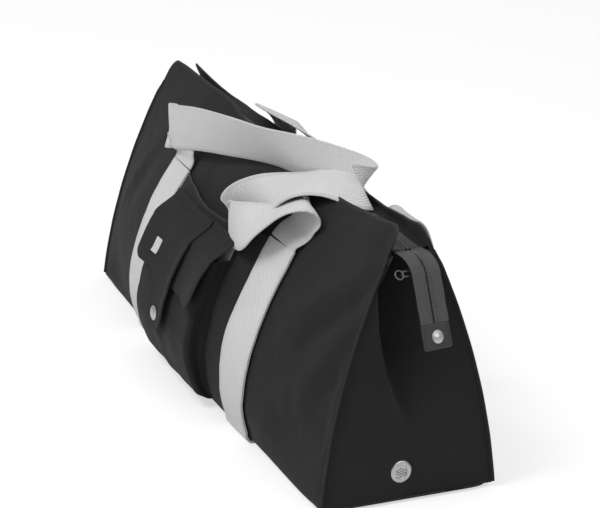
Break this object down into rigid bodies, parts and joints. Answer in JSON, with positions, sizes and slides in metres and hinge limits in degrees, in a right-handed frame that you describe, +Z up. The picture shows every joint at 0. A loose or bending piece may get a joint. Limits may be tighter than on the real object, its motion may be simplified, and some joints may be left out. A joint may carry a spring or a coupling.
{
  "type": "weekender bag",
  "caption": "Soft weekender bag with a flat base, sloping sides, zip top, flap pocket, slip pocket and webbing carry handles.",
  "frame": {"origin": "on the surface the bag stands on, under the middle of its bounding box", "axes": "+X along the bag towards the end with the second slider, -Y towards the pocket side, +Z up"},
  "size_m": [0.7056, 0.2688, 0.3042],
  "materials": {
    "canvas": "fine black canvas",
    "webbing": "light grey herringbone webbing",
    "lining": "plain woven lining",
    "board": "stiff sheet",
    "zip_tape": "ribbed black tape",
    "zip_coil": "black nylon coil",
    "tab_leather": "black tab",
    "silver": "matte silver",
    "tag": "small bare woven tag"
  },
  "bodies": {
    "bag": {"front_panel": "canvas", "back_panel": "canvas", "near_gusset": "canvas", "far_gusset": "canvas", "base_panel": "canvas", "near_front_piping": "canvas", "near_back_piping": "canvas", "far_front_piping": "canvas", "far_back_piping": "canvas", "front_zip_facing": "canvas", "back_zip_facing": "canvas", "slip_pocket": "canvas", "cargo_face": "canvas", "cargo_near_side": "canvas", "cargo_far_side": "canvas", "cargo_floor": "canvas", "near_strap": "webbing", "far_strap": "webbing", "lining": "lining", "base_board": "board", "front_zip_tape": "zip_tape", "back_zip_tape": "zip_tape", "front_zip_coil": "zip_coil", "back_zip_coil": "zip_coil", "near_vent_rim": "silver", "far_vent_rim": "silver", "near_vent_mesh": "silver", "far_vent_mesh": "silver", "near_vent_washer": "silver", "far_vent_washer": "silver", "snap_stud": "silver"},
    "main_slider": {"slider_body": "silver", "slider_bridge": "silver"},
    "slider_pull": {"slider_pull": "silver"},
    "near_tail": {"near_tail_front_tape": "zip_tape", "near_tail_back_tape": "zip_tape", "near_tail_coil": "zip_coil", "near_tail_tab": "tab_leather", "near_tail_rivet": "silver", "near_tail_washer": "silver", "near_slider": "silver"},
    "near_pull": {"near_pull": "silver"},
    "far_tail": {"far_tail_front_tape": "zip_tape", "far_tail_back_tape": "zip_tape", "far_tail_coil": "zip_coil", "far_tail_tab": "tab_leather", "far_tail_rivet": "silver", "far_tail_washer": "silver"},
    "pocket_flap": {"pocket_flap": "canvas", "flap_tag": "tag"},
    "closure_tongue": {"closure_tongue": "webbing", "snap_cap": "silver", "snap_socket": "silver"},
    "front_handle": {"front_handle": "webbing"},
    "back_handle": {"back_handle": "webbing"}
  },
  "joints": [
    {"name": "zip_slide", "type": "slide", "parent": "bag", "child": "main_slider", "axis": [1, 0, 0], "range_m": [0, 0.558]},
    {"name": "slider_pull_hinge", "type": "hinge", "parent": "main_slider", "child": "slider_pull", "pos_m": [-0.27829, 0.01227, 0.249], "axis": [0, -1, 0], "range_deg": [0, 150]},
    {"name": "near_tail_bend", "type": "hinge", "parent": "bag", "child": "near_tail", "pos_m": [0.29036, 0.01227, 0.2463], "axis": [0.1392, -0.9903, 0], "range_deg": [0, 45]},
    {"name": "near_pull_hinge", "type": "hinge", "parent": "near_tail", "child": "near_pull", "pos_m": [0.31543, 0.00974, 0.23282], "axis": [0.6365, 0.0895, -0.766], "range_deg": [0, 60]},
    {"name": "far_tail_bend", "type": "hinge", "parent": "bag", "child": "far_tail", "pos_m": [-0.29036, 0.01227, 0.2463], "axis": [0.1392, 0.9903, 0], "range_deg": [0, 40]},
    {"name": "flap_hinge", "type": "hinge", "parent": "bag", "child": "pocket_flap", "pos_m": [0.00441, -0.07377, 0.19], "axis": [-1, 0, 0], "range_deg": [0, 40]},
    {"name": "tongue_hinge", "type": "hinge", "parent": "pocket_flap", "child": "closure_tongue", "pos_m": [0.00441, -0.07727, 0.19], "axis": [-1, 0, 0], "range_deg": [0, 60]},
    {"name": "front_handle_swing", "type": "hinge", "parent": "bag", "child": "front_handle", "pos_m": [0.01441, -0.05411, 0.2054], "axis": [0.9998, 0.022, 0], "range_deg": [0, 6]},
    {"name": "back_handle_swing", "type": "hinge", "parent": "bag", "child": "back_handle", "pos_m": [0.01441, 0.07558, 0.2054], "axis": [0.9998, -0.022, 0], "range_deg": [0, 3]}
  ]
}
